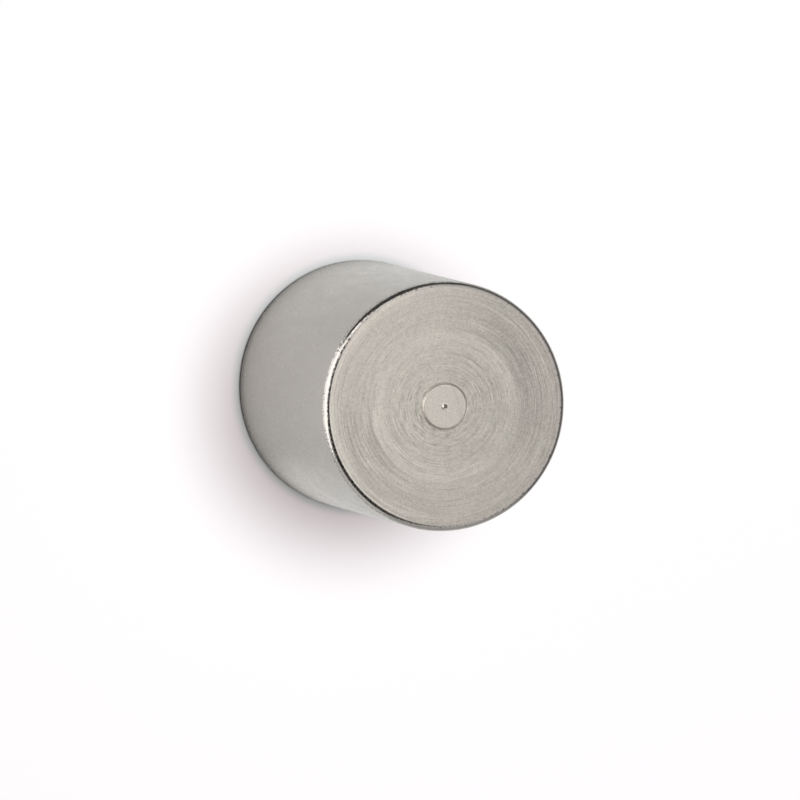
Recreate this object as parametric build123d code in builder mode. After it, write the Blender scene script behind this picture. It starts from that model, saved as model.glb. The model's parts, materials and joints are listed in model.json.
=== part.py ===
from build123d import *
import os

# Deep pot magnet: a turned steel cup with a rod magnet standing in its bore.
# The open end is the pole face, where the cup's rim, a brass spacer ring and the
# rod's end are ground flush. Behind the ring, cast resin bonds the rod to the cup.
# Frame: Z is the axis. The pole face lies on Z = 0 and the closed end points to +Z.
# All sizes are in millimetres.

# Steel pot, outside
POT_DIAMETER = 20.0
POT_LENGTH = 25.0  # pole face to the turned back face
BACK_RIM_RADIUS = 0.45  # rounding between the side and the back face
POLE_RIM_CHAMFER = 0.5  # outer edge of the pole face

# Steel pot, inside
POT_WALL = 2.25
BASE_THICKNESS = 5.0  # solid steel behind the bore
BORE_FLOOR_RADIUS = 0.4  # left by the boring tool's nose

# What the facing tool leaves in the middle of the back face
PIP_DIAMETER = 3.54
PIP_HEIGHT = 0.07
PIP_EDGE_RADIUS = 0.04
PIP_GROOVE_WIDTH = 0.12  # ring cut at the foot of the pip
PIP_GROOVE_DEPTH = 0.05
NIB_DIAMETER = 0.42  # last point of metal, on the axis
NIB_TIP_DIAMETER = 0.14
NIB_HEIGHT = 0.09

# Rod magnet
ROD_CHAMFER = 0.5  # hidden end only, the pole end is ground sharp
BOND_LINE = 0.15  # resin between the rod's hidden end and the bore's floor

# Brass spacer ring at the mouth of the bore
RING_HEIGHT = 4.0
RING_WALL = 1.46
RING_FIT = 0.02  # radial, at the bore and at the rod
RING_CHAMFER = 0.25  # lead-in edges, on the hidden side

# Sizes that follow from the ones above
BORE_DIAMETER = POT_DIAMETER - 2 * POT_WALL
ROD_DIAMETER = BORE_DIAMETER - 2 * (RING_WALL + 2 * RING_FIT)
BORE_DEPTH = POT_LENGTH - BASE_THICKNESS
ROD_LENGTH = BORE_DEPTH - BOND_LINE
UPWARD = (Align.CENTER, Align.CENTER, Align.MIN)


def circles_at(builder, height):
    """The round edges of a part that lie at one height above the pole face."""
    return builder.edges().filter_by(GeomType.CIRCLE).filter_by_position(Axis.Z, height, height)


# Steel pot: one turned piece
with BuildPart() as steel_pot:
    Cylinder(POT_DIAMETER / 2, POT_LENGTH, align=UPWARD)
    fillet(circles_at(steel_pot, POT_LENGTH), BACK_RIM_RADIUS)
    chamfer(circles_at(steel_pot, 0), POLE_RIM_CHAMFER)
    # bore for the magnet, blind, open at the pole face
    with BuildSketch(Plane.XY) as bore:
        Circle(BORE_DIAMETER / 2)
    extrude(amount=BORE_DEPTH, mode=Mode.SUBTRACT)
    fillet(circles_at(steel_pot, BORE_DEPTH), BORE_FLOOR_RADIUS)
    # ring groove at the foot of the pip
    with BuildSketch(Plane.XY.offset(POT_LENGTH)) as pip_groove:
        Circle(PIP_DIAMETER / 2 + PIP_GROOVE_WIDTH)
        Circle(PIP_DIAMETER / 2, mode=Mode.SUBTRACT)
    extrude(amount=-PIP_GROOVE_DEPTH, mode=Mode.SUBTRACT)
    # pip, with the nib on top of it
    with BuildSketch(Plane.XY.offset(POT_LENGTH)) as pip:
        Circle(PIP_DIAMETER / 2)
    extrude(amount=PIP_HEIGHT)
    fillet(circles_at(steel_pot, POT_LENGTH + PIP_HEIGHT), PIP_EDGE_RADIUS)
    with Locations((0, 0, POT_LENGTH + PIP_HEIGHT)):
        Cone(NIB_DIAMETER / 2, NIB_TIP_DIAMETER / 2, NIB_HEIGHT, align=UPWARD)
steel_pot.part.label = "steel_pot"

# Rod magnet: one cast and ground piece
with BuildPart() as magnet_rod:
    Cylinder(ROD_DIAMETER / 2, ROD_LENGTH, align=UPWARD)
    chamfer(circles_at(magnet_rod, ROD_LENGTH), ROD_CHAMFER)
magnet_rod.part.label = "magnet_rod"

# Spacer ring: keeps the rod on the axis and the two poles apart
with BuildPart() as spacer_ring:
    with BuildSketch(Plane.XY) as ring_section:
        Circle(BORE_DIAMETER / 2 - RING_FIT)
        Circle(ROD_DIAMETER / 2 + RING_FIT, mode=Mode.SUBTRACT)
    extrude(amount=RING_HEIGHT)
    chamfer(circles_at(spacer_ring, RING_HEIGHT), RING_CHAMFER)
spacer_ring.part.label = "spacer_ring"

# Bonding resin: fills the bore behind the ring, around and behind the rod
with BuildPart() as bonding_resin:
    with BuildSketch(Plane.XY.offset(RING_HEIGHT)) as resin_section:
        Circle(BORE_DIAMETER / 2)
    extrude(amount=BORE_DEPTH - RING_HEIGHT)
    fillet(circles_at(bonding_resin, BORE_DEPTH), BORE_FLOOR_RADIUS)
    add(magnet_rod.part, mode=Mode.SUBTRACT)
bonding_resin.part.label = "bonding_resin"

os.makedirs("parts", exist_ok=True)
for piece in (steel_pot, magnet_rod, spacer_ring, bonding_resin):
    export_step(piece.part, f"parts/{piece.part.label}.step")
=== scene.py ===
import json
import math

import bpy
from mathutils import Matrix, Vector, noise


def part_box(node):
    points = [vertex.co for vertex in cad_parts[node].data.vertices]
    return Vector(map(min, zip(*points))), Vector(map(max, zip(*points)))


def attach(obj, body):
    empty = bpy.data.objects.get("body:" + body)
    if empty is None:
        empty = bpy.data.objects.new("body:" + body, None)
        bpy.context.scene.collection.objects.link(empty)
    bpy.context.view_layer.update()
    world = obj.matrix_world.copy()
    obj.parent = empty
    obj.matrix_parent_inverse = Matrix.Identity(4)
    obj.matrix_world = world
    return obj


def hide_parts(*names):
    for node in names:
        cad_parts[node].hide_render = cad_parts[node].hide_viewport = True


# Deep pot magnet standing on its pole face: a turned and plated steel pot whose bore holds
# a rod magnet, a brass spacer ring and bonding resin. Shapes are in metres, in the frame of
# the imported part: Z is the axis and the pole face lies on Z = 0. The materials' patterns are
# laid out in millimetres.

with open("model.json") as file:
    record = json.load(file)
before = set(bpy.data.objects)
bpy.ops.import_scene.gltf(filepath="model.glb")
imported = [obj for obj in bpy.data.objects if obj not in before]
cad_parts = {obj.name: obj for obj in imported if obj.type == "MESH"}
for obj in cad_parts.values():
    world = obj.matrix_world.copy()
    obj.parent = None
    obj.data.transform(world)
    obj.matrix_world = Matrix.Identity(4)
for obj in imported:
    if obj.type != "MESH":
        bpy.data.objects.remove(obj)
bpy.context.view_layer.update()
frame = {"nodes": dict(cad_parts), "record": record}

MM = 0.001

# Sizes of the pieces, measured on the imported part
POT_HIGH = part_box("steel_pot")[1]
ROD_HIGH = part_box("magnet_rod")[1]
RESIN_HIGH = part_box("bonding_resin")[1]
BODY_PIN = next(mount for mount in frame["record"]["mounts"] if mount["name"] == "body")

POT_RADIUS = POT_HIGH.x
BORE_RADIUS = RESIN_HIGH.x
BORE_DEPTH = RESIN_HIGH.z
ROD_RADIUS = ROD_HIGH.x

# Edges of the pot and the rod
POLE_CHAMFER = 0.5 * MM
BACK_RIM_RADIUS = 0.45 * MM
BODY_PLAIN_LENGTH = BODY_PIN["dims"]["length_mm"] * MM
BACK_FACE = POLE_CHAMFER + BODY_PLAIN_LENGTH + BACK_RIM_RADIUS
BORE_FLOOR_RADIUS = 0.4 * MM
POLE_EDGE_BREAK = 0.05 * MM  # at the mouth of the bore and the rod's pole end
ROD_CHAMFER = 0.5 * MM  # hidden end only

# Pip and nib in the middle of the back face
PIP_RADIUS = 1.77 * MM
PIP_HEIGHT = 0.07 * MM
PIP_EDGE_RADIUS = 0.04 * MM
PIP_GROOVE_WIDTH = 0.12 * MM
PIP_GROOVE_DEPTH = 0.05 * MM
NIB_RADIUS = 0.21 * MM
NIB_TIP_RADIUS = 0.07 * MM
NIB_TOP = POT_HIGH.z

# Turning marks on the back face
FEED = 0.21 * MM
FEED_WANDER = 0.16 * MM
MARK_DEPTH = 1.8e-6
MARK_UNEVENNESS = 1.8  # how much a mark's depth varies along it, as a share of that depth
RINGS_PER_MARK = 6  # the first five climb outwards, and the last one falls back

SEGMENTS = 256  # round the axis

# Colours
FACE_NICKEL = (0.745, 0.70, 0.625)
FACE_NICKEL_REDDER = (0.755, 0.69, 0.63)
# dark of the face's specks, and of the painted shade along the pip's edge
FACE_SPECK_AND_SHADE = (0.26, 0.235, 0.20)
RIM_NICKEL = (0.46, 0.43, 0.40)
# near-black of the rim's nicks, partly a painted dark reflection
RIM_NICK_AND_DARK_REFLECTION = (0.08, 0.075, 0.07)
SIDE_NICKEL = (0.333, 0.298, 0.267)
SIDE_PIT = (0.24, 0.215, 0.192)
GROUND_STEEL = (0.58, 0.565, 0.54)
GROUND_ALLOY = (0.40, 0.40, 0.405)
CAST_ALLOY_DARK = (0.22, 0.22, 0.225)
CAST_ALLOY_PALE = (0.36, 0.36, 0.365)
BRASS_DARK = (0.60, 0.44, 0.20)
BRASS_PALE = (0.74, 0.58, 0.30)
RESIN_DARK = (0.12, 0.09, 0.065)
RESIN_PALE = (0.2, 0.165, 0.13)
BOARD_WHITE = (0.79, 0.81, 0.81)
# painted contact shadow on the board, under the pot's chamfer
BOARD_CONTACT_SHADOW = (0.36, 0.34, 0.34)
BOARD_GLOW_SHOWN = (1, 0.62, 0.71)
WHITE = (1, 1, 1)


# ---------------------------------------------------------------- the view

# The camera stands far off and looks almost straight down the axis. Its directions are
# given against the image: the axis leans to the right and a little down.
TILT = math.radians(16.6)  # between the axis and the line of sight
LEAN = math.radians(14.6)  # how far below the image's horizontal the axis leans
CAMERA_DISTANCE = 240 * POT_RADIUS
CAMERA_CLIPS = (0.1, 10)
SENSOR_WIDTH = 36  # mm
FRAME_WIDTH = 6.375 * POT_RADIUS  # what the image spans, side to side, at the back face
AIM_RIGHT = 0.356 * POT_RADIUS  # of the back face's centre from the middle of the image
AIM_DOWN = 0.0515 * POT_RADIUS

AXIS_IN_IMAGE = Vector((math.sin(TILT) * math.cos(LEAN), -math.sin(TILT) * math.sin(LEAN), math.cos(TILT)))


def image_axes():
    """Matrix whose columns are the image's right, up and back directions in the frame."""
    row_z = AXIS_IN_IMAGE
    row_x = (Vector((1, 0, 0)) - row_z * row_z.x).normalized()
    row_y = row_z.cross(row_x)
    return Matrix((row_x, row_y, row_z))


def image_direction(right, down):
    """Unit vector in the frame that leans by those degrees from the axis, as the image shows it."""
    across = Vector((right, -down, 0))
    lean = math.radians(across.length)
    if across.length == 0:
        return Vector((0, 0, 1))
    flat = image_axes() @ across.normalized()
    flat.z = 0
    flat.normalize()
    return flat * math.sin(lean) + Vector((0, 0, 1)) * math.cos(lean)


def across_image(right, down):
    """Unit vector across the axis that points that way in the image."""
    flat = image_axes() @ Vector((right, -down, 0))
    flat.z = 0
    return flat.normalized()


# ---------------------------------------------------------------- lathed meshes

def arc(centre_r, centre_z, radius, start, end, steps):
    """Points (r, z) of an arc about (centre_r, centre_z). Angles in degrees, from +r towards +z."""
    points = []
    for step in range(steps + 1):
        angle = math.radians(start + (end - start) * step / steps)
        points.append((centre_r + radius * math.cos(angle), centre_z + radius * math.sin(angle)))
    return points


def run(start, end, steps):
    """Points (r, z) along a straight line, both ends included."""
    return [
        (start[0] + (end[0] - start[0]) * step / steps, start[1] + (end[1] - start[1]) * step / steps)
        for step in range(steps + 1)
    ]


class Disc:
    """Round patch of the bake map. Its radius runs from start to end along the profile."""

    def __init__(self, centre, start, end):
        self.centre = centre
        self.start = start
        self.end = end

    def place(self, part, turn):
        radius = self.start + (self.end - self.start) * part
        angle = 2 * math.pi * turn
        return (self.centre[0] + radius * math.cos(angle), self.centre[1] + radius * math.sin(angle))


class Strip:
    """Oblong patch of the bake map: the turn runs across it, and the profile up it."""

    def __init__(self, low, high):
        self.low = low
        self.high = high

    def place(self, part, turn):
        across = self.low[0] + (self.high[0] - self.low[0]) * turn
        up = self.low[1] + (self.high[1] - self.low[1]) * part
        return (across, up)


def lathe(name, zones, relief=None):
    """A closed surface of revolution about Z, with a bake map.

    zones is a list of (material index, points, patch). The points run on from zone to zone, and
    the first and the last one lie on the axis. Zones that share a patch share its span.
    relief(r, z, angle) gives the change of height.
    """
    profile = []
    bands = []  # (material index, patch, travel at its start, travel at its end)
    spans = {}
    for material_index, points, patch in zones:
        for point in points:
            if profile and math.dist(point, profile[-1]) < 1e-9:
                continue
            if profile:
                travel = spans.get(patch, 0)
                spans[patch] = travel + math.dist(point, profile[-1])
                bands.append((material_index, patch, travel, spans[patch]))
            profile.append(point)

    vertices = [(0, 0, profile[0][1])]
    for r, z in profile[1:-1]:
        for segment in range(SEGMENTS):
            angle = 2 * math.pi * segment / SEGMENTS
            lift = relief(r, z, angle) if relief else 0
            vertices.append((r * math.cos(angle), r * math.sin(angle), z + lift))
    vertices.append((0, 0, profile[-1][1]))

    faces = []
    materials = []
    places = []
    last_band = len(bands) - 1
    for band, (material_index, patch, from_travel, to_travel) in enumerate(bands):
        inner = 1 + (band - 1) * SEGMENTS
        outer = 1 + band * SEGMENTS
        start = from_travel / spans[patch]
        end = to_travel / spans[patch]
        for segment in range(SEGMENTS):
            following = (segment + 1) % SEGMENTS
            here = segment / SEGMENTS
            ahead = (segment + 1) / SEGMENTS
            if band == 0:
                faces.append((0, outer + segment, outer + following))
                corners = [(start, here), (end, here), (end, ahead)]
            elif band == last_band:
                faces.append((inner + segment, len(vertices) - 1, inner + following))
                corners = [(start, here), (end, here), (start, ahead)]
            else:
                faces.append((inner + segment, outer + segment, outer + following, inner + following))
                corners = [(start, here), (end, here), (end, ahead), (start, ahead)]
            materials.append(material_index)
            for part, turn in corners:
                places.extend(patch.place(part, turn))

    mesh = bpy.data.meshes.new(name)
    mesh.from_pydata(vertices, [], faces)
    mesh.uv_layers.new(name="OFBake").data.foreach_set("uv", places)
    mesh.polygons.foreach_set("material_index", materials)
    mesh.polygons.foreach_set("use_smooth", [True] * len(faces))
    mesh.validate()
    mesh.update()
    piece = bpy.data.objects.new(name, mesh)
    bpy.context.collection.objects.link(piece)
    return piece


def finish_piece(piece, node, materials):
    """Gives a piece its materials, and puts it in the place of its CAD node."""
    for material in materials:
        piece.data.materials.append(material)
    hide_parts(node)
    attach(piece, "root")


# ---------------------------------------------------------------- node helpers

class Nodes:
    """Short spellings for a node tree's sockets and links."""

    def __init__(self, tree):
        self.tree = tree
        tree.nodes.clear()

    def add(self, kind, inputs=(), output=0, **settings):
        """A node of that kind. inputs is {name or number: value or socket}; returns an output."""
        made = self.tree.nodes.new(kind)
        for name, value in settings.items():
            setattr(made, name, value)
        for name, value in dict(inputs).items():
            socket = made.inputs[name]
            if isinstance(value, bpy.types.NodeSocket):
                self.tree.links.new(value, socket)
            else:
                socket.default_value = value
        return made.outputs[output]

    def math(self, operation, a, b=0.0, c=0.0):
        return self.add("ShaderNodeMath", {0: a, 1: b, 2: c}, operation=operation)

    def vector(self, operation, a, b=(0, 0, 0), output=0):
        return self.add("ShaderNodeVectorMath", {0: a, 1: b}, output, operation=operation)

    def along(self, vector, right, down):
        """How far a vector goes across the axis, that way in the image."""
        return self.vector("DOT_PRODUCT", vector, tuple(across_image(right, down)), output=1)

    def scaled(self, vector, factor):
        return self.add("ShaderNodeVectorMath", {0: vector, "Scale": factor}, operation="SCALE")

    def between(self, value, low, high, to_low=0.0, to_high=1.0):
        """value carried smoothly from low..high to to_low..to_high, and held there."""
        inputs = {"Value": value, "From Min": low, "From Max": high, "To Min": to_low, "To Max": to_high}
        return self.add("ShaderNodeMapRange", inputs, interpolation_type="SMOOTHSTEP")

    def noise(self, vector, scale=1.0, detail=2.0, roughness=0.5):
        inputs = {"Vector": vector, "Scale": scale, "Detail": detail, "Roughness": roughness}
        return self.add("ShaderNodeTexNoise", inputs)

    def tint(self, factor, a, b):
        """Colour a turning into colour b as factor goes from 0 to 1."""
        made = self.tree.nodes.new("ShaderNodeMix")
        made.data_type = "RGBA"
        for number, value in ((0, factor), (6, a), (7, b)):
            if isinstance(value, bpy.types.NodeSocket):
                self.tree.links.new(value, made.inputs[number])
            elif number == 0:
                made.inputs[number].default_value = value
            else:
                made.inputs[number].default_value = (*value, 1.0)
        return made.outputs[2]

    def sum(self, *values):
        total = values[0]
        for value in values[1:]:
            total = self.math("ADD", total, value)
        return total

    def product(self, *values):
        total = values[0]
        for value in values[1:]:
            total = self.math("MULTIPLY", total, value)
        return total

    def output(self, shader, kind="ShaderNodeOutputMaterial"):
        made = self.tree.nodes.new(kind)
        self.tree.links.new(shader, made.inputs["Surface"])


def new_material(name):
    material = bpy.data.materials.new(name)
    material.use_nodes = True
    return material, Nodes(material.node_tree)


def place_mm(n):
    """The point on the piece, in millimetres."""
    coordinates = n.tree.nodes.new("ShaderNodeTexCoord")
    return n.scaled(coordinates.outputs["Object"], 1 / MM)


def height_of(n, place):
    """How far a place is above the pole face, in millimetres."""
    return n.add("ShaderNodeSeparateXYZ", {0: place}, output=2)


def polar(n, place):
    """(unit vector across the axis, radius in millimetres) of a place."""
    flat = n.vector("MULTIPLY", place, (1, 1, 0))
    radius = n.vector("LENGTH", flat, output=1)
    return n.vector("NORMALIZE", flat), radius


def ring_noise(n, around, radius, breaks, pitch, detail=2.0, shift=0.0):
    """Noise drawn out along circles: arcs about pitch mm apart, which break up around the axis."""
    rise = n.add("ShaderNodeCombineXYZ", {"Z": n.math("ADD", n.math("DIVIDE", radius, pitch), shift)})
    return n.noise(n.vector("ADD", n.scaled(around, breaks), rise), detail=detail)


def metal(n, colour, roughness, height):
    """The metal shader with a bump. height is in metres."""
    bump = n.add("ShaderNodeBump", {"Height": height, "Distance": 1.0})
    inputs = {"Base Color": colour, "Metallic": 1.0, "Roughness": roughness, "Normal": bump}
    n.output(n.add("ShaderNodeBsdfPrincipled", inputs))


# ---------------------------------------------------------------- finishes of the pot

def turned_face():
    """Back face: concentric, broken turning marks under a thin satin plating. Its colour also holds
    painted light and shade: shade towards the image's right, a highlight and shade on the outer edge,
    shade along the pip's edge and on the scores, and marks whose contrast follows the light.
    """
    material, n = new_material("turned_nickel_face")
    place = place_mm(n)
    around, radius = polar(n, place)
    pip_edge = PIP_RADIUS / MM

    fine = ring_noise(n, around, radius, 4.0, 0.10, detail=2.0)
    drawn_out = ring_noise(n, around, radius, 0.9, 0.09, detail=1.0, shift=5.7)
    arcs = ring_noise(n, around, radius, 3.2, 0.24, detail=2.0, shift=7.3)
    broad = ring_noise(n, around, radius, 1.1, 1.3, detail=1.0, shift=3.1)
    grain = n.noise(place, scale=6.5, detail=2.0, roughness=0.6)
    cloud = n.noise(place, scale=0.35, detail=2.0)
    specks = n.between(n.noise(place, scale=3.2, detail=1.0), 0.76, 0.80)

    # where things are: the pip, the deeply scored inner third, the outer field, and the edge, which
    # carries a painted highlight at the image's left and painted shade at its right
    pip = n.between(radius, pip_edge + 0.03, pip_edge - 0.03)
    inner = n.between(radius, 4.6, 2.6, 0.35, 1.0)
    field = n.product(n.between(radius, 5.6, 6.6), n.between(radius, 9.0, 8.2))
    ring = n.product(n.between(radius, 4.6, 5.5), n.between(radius, 6.3, 5.8))
    # painted highlight and shade on the edge: from -0.5 towards the image's right to 1 towards its left
    left = n.between(n.along(around, -90, -35), -0.1, 0.9, -0.5, 1)
    edge = n.product(n.between(radius, 9.0, 9.4), left)
    off_pip = n.math("SUBTRACT", 1, pip)

    # painted light and shade: the marks' contrast in the colour, and the darker, rougher dull patches,
    # show most where the marks lie across the light
    bow = n.math("POWER", n.math("ABSOLUTE", n.along(around, 92, -39)), 2)
    strong = n.product(n.math("MULTIPLY_ADD", bow, 0.45, 0.35), off_pip)
    # the scores darken the colour, and cut deeper, more towards the image's lower left; the darkening
    # there is painted shade
    low_left = n.between(n.along(around, -70, 60), -1, 1, 0.4, 1.3)
    scores = n.product(n.between(arcs, 0.53, 0.62), inner, off_pip, low_left)
    dull_and_shade = n.product(n.between(broad, 0.35, 0.6, 0.3, 1.0), field, bow)
    # painted shade: the face darkens towards the image's right and a little down
    painted_shade = n.between(n.along(place, 95, 15), -9, 9)

    parted = pip_marks(n, place, pip)
    # how much brighter or, below zero, darker each pattern makes the plating
    tone = n.sum(
        n.math("MULTIPLY_ADD", grain, 0.56, 0.72),
        n.product(n.math("SUBTRACT", fine, 0.5), strong, 0.6),
        n.product(n.math("SUBTRACT", drawn_out, 0.5), strong, 0.75),
        n.product(scores, -0.13),
        n.product(dull_and_shade, -0.13),
        n.product(painted_shade, -0.18),
        n.product(ring, broad, 0.15),
        n.product(edge, 0.18),
        n.product(pip, 0.12),
        n.product(parted, -0.10),
    )
    plating = n.tint(n.between(cloud, 0.4, 0.6), FACE_NICKEL, FACE_NICKEL_REDDER)
    # painted shade: a dark line along the pip's edge, strongest towards the image's lower right
    off_edge = n.math("ABSOLUTE", n.math("SUBTRACT", radius, pip_edge + 0.02))
    low_right = n.between(n.along(around, 30, 60), -0.8, 0.3, 0.05, 0.38)
    pip_edge_shade = n.product(n.between(off_edge, 0.10, 0.05), low_right)
    # dark places: the specks, the painted shade along the pip's edge, and the nib's dark tip
    dark = n.math("MAXIMUM", n.math("MAXIMUM", specks, pip_edge_shade), n.between(radius, 0.17, 0.11))
    colour = n.tint(dark, n.scaled(plating, tone), FACE_SPECK_AND_SHADE)

    # how high each pattern stands, in metres
    marks = n.sum(
        n.product(fine, 2.2e-6, off_pip),
        n.product(scores, -2.5e-6),
        n.product(grain, 4e-6),
        n.product(parted, -2e-6),
    )
    roughness = n.math("MULTIPLY_ADD", dull_and_shade, 0.08, 0.30)
    metal(n, colour, roughness, marks)
    return material


def pip_marks(n, place, pip):
    """Faint arcs across the right half of the pip, about a point far to its left."""
    from_side = n.vector("DISTANCE", place, tuple(6.2 * across_image(-6, 1.5)), output=1)
    lines = n.noise(n.add("ShaderNodeCombineXYZ", {0: n.math("DIVIDE", from_side, 0.14)}), detail=1.0)
    half = n.between(n.along(place, 1, -0.2), 0.1, 0.6)
    return n.product(n.between(lines, 0.5, 0.62), half, pip)


def burnished_rim():
    """Rounded edge between the back face and the side, polished by handling. Dark nicks run along its foot
    and, mostly at the image's left, along its top; they are partly real nicks and partly a painted dark
    reflection, which deepens the dark lines beside the rim's bright band."""
    material, n = new_material("burnished_nickel_rim")
    place = place_mm(n)
    depth = n.math("SUBTRACT", BACK_FACE / MM, height_of(n, place))
    upper = n.between(depth, 0.05, 0.025)
    lower = n.between(depth, 0.14, 0.34)
    worn = n.between(depth, 0.0, 0.25, 1e-5, 3e-5)
    dents = n.product(n.noise(place, scale=5.0, detail=2.0), worn)
    # painted dark reflection: the nicks crowd towards the image's left
    painted_reflection_left = n.between(n.along(polar(n, place)[0], -98, 20), 0.45, 0.9, 0, 0.2)
    upper_nicks_and_reflection = n.math("ADD", n.noise(place, scale=5.0, detail=1.0), painted_reflection_left)
    upper_nicks_and_reflection = n.product(n.between(upper_nicks_and_reflection, 0.62, 0.68), upper)
    lower_nicks_and_reflection = n.product(n.between(n.noise(place, scale=6.0, detail=1.0), 0.53, 0.58), lower)
    nicks_and_reflection = n.math("MAXIMUM", upper_nicks_and_reflection, lower_nicks_and_reflection)
    height = n.math("SUBTRACT", dents, n.product(nicks_and_reflection, 5e-6))
    colour = n.tint(n.product(nicks_and_reflection, 0.85), RIM_NICKEL, RIM_NICK_AND_DARK_REFLECTION)
    metal(n, colour, 0.025, height)
    return material


def satin_side():
    """Side wall: smooth drawn steel with satin plating and a few faint pits."""
    material, n = new_material("satin_nickel_side")
    place = place_mm(n)
    drawn = n.vector("MULTIPLY", place, (1, 1, 0.35))
    cloud = n.noise(drawn, scale=0.9, detail=3.0)
    pits = n.between(n.noise(place, scale=4.5, detail=1.0), 0.72, 0.78)
    grain = n.noise(drawn, scale=5.0, detail=2.0)
    height = n.sum(n.product(pits, -2.5e-6), n.product(grain, 0.3e-6))
    roughness = n.math("MULTIPLY_ADD", cloud, 0.12, 0.22)
    colour = n.tint(pits, SIDE_NICKEL, SIDE_PIT)
    metal(n, colour, roughness, height)
    return material


def ground_end(name, colour, roughness, lay):
    """A pole face ground flat: straight scratches that all run the same way. lay stretches the
    pattern, and is large across the scratches and small along them."""
    material, n = new_material(name)
    place = place_mm(n)
    along = n.vector("MULTIPLY", place, lay)
    scratches = n.noise(along, scale=1.0, detail=2.0)
    dark = tuple(part * 0.8 for part in colour)
    worn = n.tint(n.between(scratches, 0.45, 0.7), colour, dark)
    metal(n, worn, roughness, n.product(scratches, 4e-6))
    return material


def cast_rod():
    """Side of the rod magnet: dark, grainy casting skin. It is hidden in the pot."""
    material, n = new_material("cast_magnet_alloy")
    grain = n.noise(place_mm(n), scale=6.0, detail=4.0)
    colour = n.tint(grain, CAST_ALLOY_DARK, CAST_ALLOY_PALE)
    metal(n, colour, 0.55, n.product(grain, 2e-5))
    return material


def turned_brass():
    """Walls of the brass ring: fine turning marks round the axis."""
    material, n = new_material("turned_brass")
    place = place_mm(n)
    lines = n.noise(n.vector("MULTIPLY", place, (0.4, 0.4, 9.0)), scale=1.0, detail=2.0)
    colour = n.tint(lines, BRASS_DARK, BRASS_PALE)
    metal(n, colour, 0.28, n.product(lines, 3e-6))
    return material


def cast_resin():
    """Bonding resin, hidden behind the ring: brown, with flow marks and small bubbles."""
    material, n = new_material("cast_epoxy")
    place = place_mm(n)
    flow = n.noise(place, scale=0.7, detail=4.0)
    bubbles = n.between(n.noise(place, scale=5.0, detail=1.0), 0.7, 0.76)
    bump = n.add("ShaderNodeBump", {"Height": n.product(bubbles, -2e-5), "Distance": 1.0})
    inputs = {
        "Base Color": n.tint(flow, RESIN_DARK, RESIN_PALE),
        "Roughness": 0.25,
        "Normal": bump,
    }
    n.output(n.add("ShaderNodeBsdfPrincipled", inputs))
    return material


# ---------------------------------------------------------------- pieces

# Where the zones lie on the bake maps, which are 1 wide and 1 high
BACK_PATCH = Disc((0.35, 0.65), 0, 0.34)
POLE_PATCH = Disc((0.85, 0.85), 0.14, 0.14 * BORE_RADIUS / POT_RADIUS)
RIM_PATCH = Strip((0.01, 0.26), (0.99, 0.30))
SIDE_PATCH = Strip((0.01, 0.01), (0.99, 0.25))
BORE_PATCH = Strip((0.72, 0.34), (0.98, 0.68))
ROD_END_PATCH = Disc((0.3, 0.7), 0, 0.29)
ROD_WALL_PATCH = Strip((0.01, 0.01), (0.99, 0.39))


def ring_wander(r, angle, breaks, per_mm):
    """Smooth noise drawn out along circles about the axis, within -1 and 1."""
    return noise.noise(Vector((breaks * math.cos(angle), breaks * math.sin(angle), r / MM * per_mm)))


def face_relief(r, z, angle):
    """Turning marks of the back face as real grooves, whose depth and radius wander."""
    if z < BACK_FACE - 1e-7 or r < PIP_RADIUS:
        return 0
    start = PIP_RADIUS + PIP_GROOVE_WIDTH
    end = POT_RADIUS - BACK_RIM_RADIUS
    if r <= start or r >= end:
        return 0
    turn = ring_wander(r, angle, 1.5, 1.7)
    wander = FEED_WANDER * ring_wander(r, angle, 0.4, 0.9)
    part = ((r + wander) / FEED) % 1
    drop = 1 / RINGS_PER_MARK
    depth = 1 - part / (1 - drop) if part <= 1 - drop else (part - 1 + drop) / drop
    fade = min(1, (r - start) / FEED, (end - r) / FEED)
    return -fade * MARK_DEPTH * depth * max(0, 1 + MARK_UNEVENNESS * turn)


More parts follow.
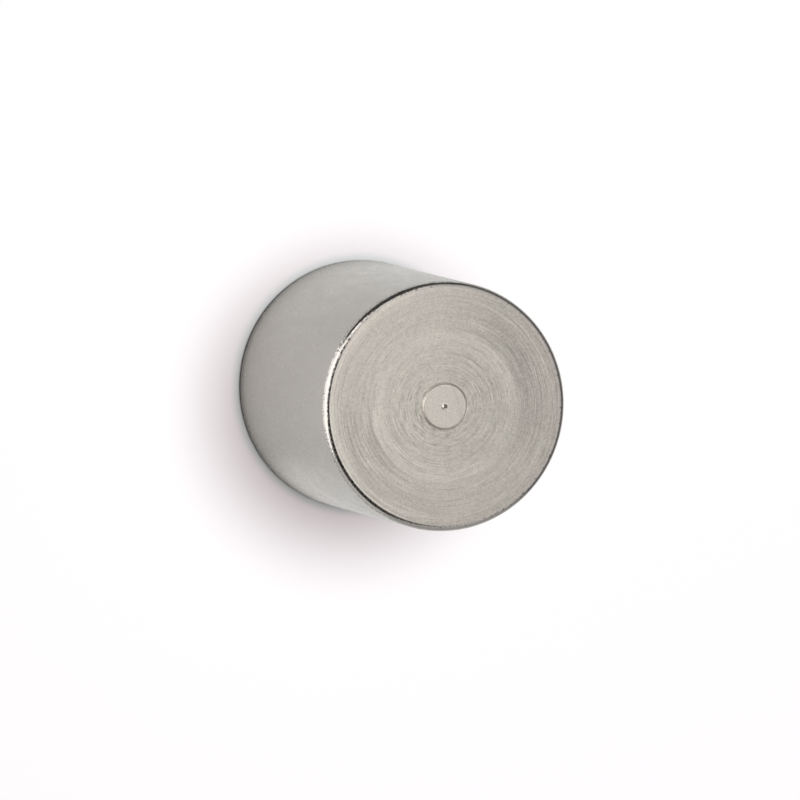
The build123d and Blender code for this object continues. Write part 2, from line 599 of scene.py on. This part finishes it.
def steel_pot():
    face_start = PIP_RADIUS + PIP_GROOVE_WIDTH
    face_end = POT_RADIUS - BACK_RIM_RADIUS
    pip_top = BACK_FACE + PIP_HEIGHT
    groove_floor = BACK_FACE - PIP_GROOVE_DEPTH
    marks = round((face_end - face_start) / FEED)

    nib = [(0, NIB_TOP)] + run((NIB_TIP_RADIUS, NIB_TOP), (NIB_RADIUS, pip_top), 4)
    pip = run((NIB_RADIUS, pip_top), (PIP_RADIUS - PIP_EDGE_RADIUS, pip_top), 14)
    pip += arc(PIP_RADIUS - PIP_EDGE_RADIUS, pip_top - PIP_EDGE_RADIUS, PIP_EDGE_RADIUS, 90, 0, 6)
    pip += run((PIP_RADIUS, BACK_FACE), (PIP_RADIUS, groove_floor), 2)
    pip += run((PIP_RADIUS, groove_floor), (face_start, groove_floor), 2)
    pip += run((face_start, groove_floor), (face_start, BACK_FACE), 2)
    face = run((face_start, BACK_FACE), (face_end, BACK_FACE), marks * RINGS_PER_MARK)
    rim = arc(face_end, BACK_FACE - BACK_RIM_RADIUS, BACK_RIM_RADIUS, 90, 0, 24)
    side = run((POT_RADIUS, BACK_FACE - BACK_RIM_RADIUS), (POT_RADIUS, POLE_CHAMFER), 24)
    side += run((POT_RADIUS, POLE_CHAMFER), (POT_RADIUS - POLE_CHAMFER, 0), 3)
    pole = run((POT_RADIUS - POLE_CHAMFER, 0), (BORE_RADIUS + POLE_EDGE_BREAK, 0), 6)
    pole += [(BORE_RADIUS, POLE_EDGE_BREAK)]
    bore = run((BORE_RADIUS, POLE_EDGE_BREAK), (BORE_RADIUS, BORE_DEPTH - BORE_FLOOR_RADIUS), 6)
    corner_r = BORE_RADIUS - BORE_FLOOR_RADIUS
    bore += arc(corner_r, BORE_DEPTH - BORE_FLOOR_RADIUS, BORE_FLOOR_RADIUS, 0, 90, 4)
    bore += run((corner_r, BORE_DEPTH), (0, BORE_DEPTH), 3)

    zones = [
        (0, nib, BACK_PATCH),
        (0, pip, BACK_PATCH),
        (0, face, BACK_PATCH),
        (1, rim, RIM_PATCH),
        (2, side, SIDE_PATCH),
        (3, pole, POLE_PATCH),
        (2, bore, BORE_PATCH),
    ]
    piece = lathe("steel_pot_turned", zones, face_relief)
    ground_steel = ground_end("ground_steel_pole", GROUND_STEEL, 0.3, (0.5, 14.0, 1.0))
    materials = [turned_face(), burnished_rim(), satin_side(), ground_steel]
    finish_piece(piece, "steel_pot", materials)


def magnet_rod():
    end = run((0, 0), (ROD_RADIUS - POLE_EDGE_BREAK, 0), 6)
    end += [(ROD_RADIUS, POLE_EDGE_BREAK)]
    chamfer_foot = (ROD_RADIUS, ROD_HIGH.z - ROD_CHAMFER)
    chamfer_top = (ROD_RADIUS - ROD_CHAMFER, ROD_HIGH.z)
    wall = run((ROD_RADIUS, POLE_EDGE_BREAK), chamfer_foot, 6)
    wall += run(chamfer_foot, chamfer_top, 2)
    wall += run(chamfer_top, (0, ROD_HIGH.z), 3)
    zones = [(0, end, ROD_END_PATCH), (1, wall, ROD_WALL_PATCH)]
    piece = lathe("magnet_rod_ground", zones)
    piece.data.flip_normals()  # its profile runs upwards, unlike the pot's
    ground_alloy = ground_end("ground_magnet_alloy", GROUND_ALLOY, 0.38, (0.4, 9.0, 1.0))
    finish_piece(piece, "magnet_rod", [ground_alloy, cast_rod()])


def carried_over(node, material):
    """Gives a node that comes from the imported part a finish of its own."""
    mesh = frame["nodes"][node].data
    mesh.materials.clear()
    mesh.materials.append(material)


def spacer_ring():
    carried_over("spacer_ring", turned_brass())


def bonding_resin():
    carried_over("bonding_resin", cast_resin())


# ---------------------------------------------------------------- stage, light and camera

def camera():
    axes = image_axes()
    target = Vector((0, 0, BACK_FACE))
    place = target - axes @ Vector((AIM_RIGHT, -AIM_DOWN, -CAMERA_DISTANCE))
    data = bpy.data.cameras.new("camera")
    data.sensor_width = SENSOR_WIDTH
    data.lens = SENSOR_WIDTH * CAMERA_DISTANCE / FRAME_WIDTH
    data.clip_start, data.clip_end = CAMERA_CLIPS
    made = bpy.data.objects.new("camera", data)
    made.matrix_world = Matrix.Translation(place) @ axes.to_4x4()
    bpy.context.collection.objects.link(made)
    bpy.context.scene.camera = made


FLOOR_RADIUS = 0.4
FLOOR_SEGMENTS = 96
FOOT = POT_RADIUS / MM  # how far out the pot's side stands, in millimetres
SHOWN_GLOW = 0.15  # the board's own light, as the camera sees it
FOOT_GLOW = 0.25  # painted reflection: the board's glow as the side mirrors it, round the foot
LOW_GLOW = 0.33  # painted reflection, added to that below the pot in the image
LEFT_GLOW = 0.9  # painted reflection: the board's glow as the side mirrors it, further out at the image's left


def round_board():
    corners = []
    for k in range(FLOOR_SEGMENTS):
        angle = 2 * math.pi * k / FLOOR_SEGMENTS
        corners.append((FLOOR_RADIUS * math.cos(angle), FLOOR_RADIUS * math.sin(angle), 0))
    mesh = bpy.data.meshes.new("white_board")
    mesh.from_pydata(corners, [], [tuple(range(FLOOR_SEGMENTS))])
    board = bpy.data.objects.new("white_board", mesh)
    bpy.context.collection.objects.link(board)
    return board


def board_glow(n, around, distance):
    """The board's own light: faint for the camera, so that the board reads as white, and fading to nothing
    at the foot, which paints a contact shadow. For mirror rays it is a painted reflection, only by the
    foot and at the left."""
    path = n.tree.nodes.new("ShaderNodeLightPath")
    below = n.between(n.along(around, -25, 97), 0.75, 0.97)
    left = n.between(n.along(around, -99, -10), 0.8, 0.95)
    by_foot = n.product(n.between(distance, FOOT + 8, FOOT), n.between(distance, FOOT, FOOT + 1.2))
    far_left = n.product(n.between(distance, FOOT + 8, FOOT + 20), left)
    # painted reflection: glow that only mirror rays see
    mirrored = n.sum(
        n.product(by_foot, FOOT_GLOW),
        n.product(by_foot, below, LOW_GLOW),
        n.product(far_left, LEFT_GLOW),
    )
    # painted shadow: the glow the camera sees fades to nothing at the foot
    shown = n.product(n.between(distance, FOOT, FOOT + 0.8), SHOWN_GLOW)
    strength = n.sum(
        n.product(shown, path.outputs["Is Camera Ray"]),
        n.product(mirrored, path.outputs["Is Glossy Ray"]),
    )
    colour = n.tint(path.outputs["Is Glossy Ray"], BOARD_GLOW_SHOWN, WHITE)
    return n.add("ShaderNodeEmission", {"Color": colour, "Strength": strength})


def floor():
    """White board on Z = 0. A contact shadow is painted on it under the pot's chamfer, and it has a light
    of its own, which paints reflections and fades to a shadow at the foot.
    """
    board = round_board()
    material, n = new_material("white_board")
    around, distance = polar(n, place_mm(n))
    # painted shadow: the board darkens under the pot's chamfer
    contact_shadow = n.between(distance, FOOT + 0.1, FOOT - 0.15)
    board_colour = n.tint(contact_shadow, BOARD_WHITE, BOARD_CONTACT_SHADOW)
    diffuse = n.add("ShaderNodeBsdfDiffuse", {"Color": board_colour})
    n.output(n.add("ShaderNodeAddShader", {0: diffuse, 1: board_glow(n, around, distance)}))
    board.data.materials.append(material)


def near(n, way, right, down, reach, fade):
    """1 within reach degrees of a direction given as the image shows it, fading over fade degrees."""
    closeness = n.vector("DOT_PRODUCT", way, tuple(image_direction(right, down)), output=1)
    return n.between(closeness, math.cos(math.radians(reach + fade)), math.cos(math.radians(reach)))


BASE_LEVEL = 0.2  # what the metal mirrors away from the lit places and the gaps
GAP_DARKNESS = 0.97  # the share of the light that a gap takes away
SOFT_FILL = 0.095  # light from all round on the board, and the least that the metal mirrors


def studio():
    """Surroundings, as the metal mirrors them: a white tent overhead that dims towards the
    horizon, a bright card at the left, a pale wall below, and dark gaps. The camera sees white.

    The directions are degrees right and down in the image, from the axis. They were fitted to
    what the pot mirrors in the photo."""
    world = bpy.data.worlds.new("studio")
    bpy.context.scene.world = world
    world.use_nodes = True
    n = Nodes(world.node_tree)
    way = n.tree.nodes.new("ShaderNodeTexCoord").outputs["Generated"]

    lit = [
        (near(n, way, 0, 0, 8, 62), 1.0),  # tent
        (near(n, way, -2, -20, 12, 8), 1.5),  # its brightest part
        (near(n, way, -72, -2, 30, 6), 2.3),  # left card, by the horizon
        (near(n, way, -42, -8, 20, 3), 2.3),  # left card, nearer the axis
        (near(n, way, -24, -29, 9, 3), 2.3),  # its corner, up in the image
        (near(n, way, 0, 80, 40, 25), 0.58),  # pale wall
        (near(n, way, -43, 62, 20, 12), 0.9),  # its left part
    ]
    dark = [
        near(n, way, -2, 16, 17, 3),  # gap from the axis down towards the wall
        near(n, way, -14, 31, 16, 4),  # the same gap, further down and left
        near(n, way, -4, -34, 10, 3),  # gap above the tent's brightest part
        near(n, way, -19, -58, 20, 5),  # the same gap, further up
        near(n, way, -53, -69, 17, 5),  # up and left, by the horizon
        near(n, way, 13, -74, 14, 6),  # up and a little right
        near(n, way, -42, -92, 18, 8),  # up and left, across the horizon
    ]
    level = BASE_LEVEL
    for place, strength in lit:
        level = n.math("MAXIMUM", level, n.product(place, strength))
    for place in dark:
        level = n.product(level, n.math("SUBTRACT", 1, n.product(place, GAP_DARKNESS)))
    path = n.tree.nodes.new("ShaderNodeLightPath")
    level = n.product(level, path.outputs["Is Glossy Ray"])
    level = n.math("MAXIMUM", level, path.outputs["Is Camera Ray"])
    level = n.math("MAXIMUM", level, SOFT_FILL)
    glow = n.add("ShaderNodeBackground", {"Color": (*WHITE, 1), "Strength": level})
    n.output(glow, "ShaderNodeOutputWorld")
    world.cycles.sampling_method = "NONE"


LAMP_DISTANCE = 0.5
LAMP_REACH = math.radians(12)  # from its middle to its edge, as seen from the part
LAMP_POWER = 2.65  # W
LAMP_RIGHT = 2.1  # degrees from the axis, as the image shows it
LAMP_UP = 3.9


def softbox():
    """Soft lamp overhead, a little up and right in the image, which gives the shadow its side.
    The metal doesn't mirror it."""
    data = bpy.data.lights.new("softbox", "AREA")
    data.shape = "DISK"
    data.size = 2 * LAMP_DISTANCE * math.tan(LAMP_REACH)
    data.energy = LAMP_POWER
    towards = image_direction(LAMP_RIGHT, -LAMP_UP)
    lamp = bpy.data.objects.new("softbox", data)
    lamp.location = towards * LAMP_DISTANCE
    lamp.rotation_mode = "QUATERNION"
    lamp.rotation_quaternion = towards.to_track_quat("Z", "Y")
    lamp.visible_glossy = False
    bpy.context.collection.objects.link(lamp)


steel_pot()
magnet_rod()
spacer_ring()
bonding_resin()
floor()
studio()
softbox()
camera()
bpy.context.scene.view_settings.view_transform = "Standard"
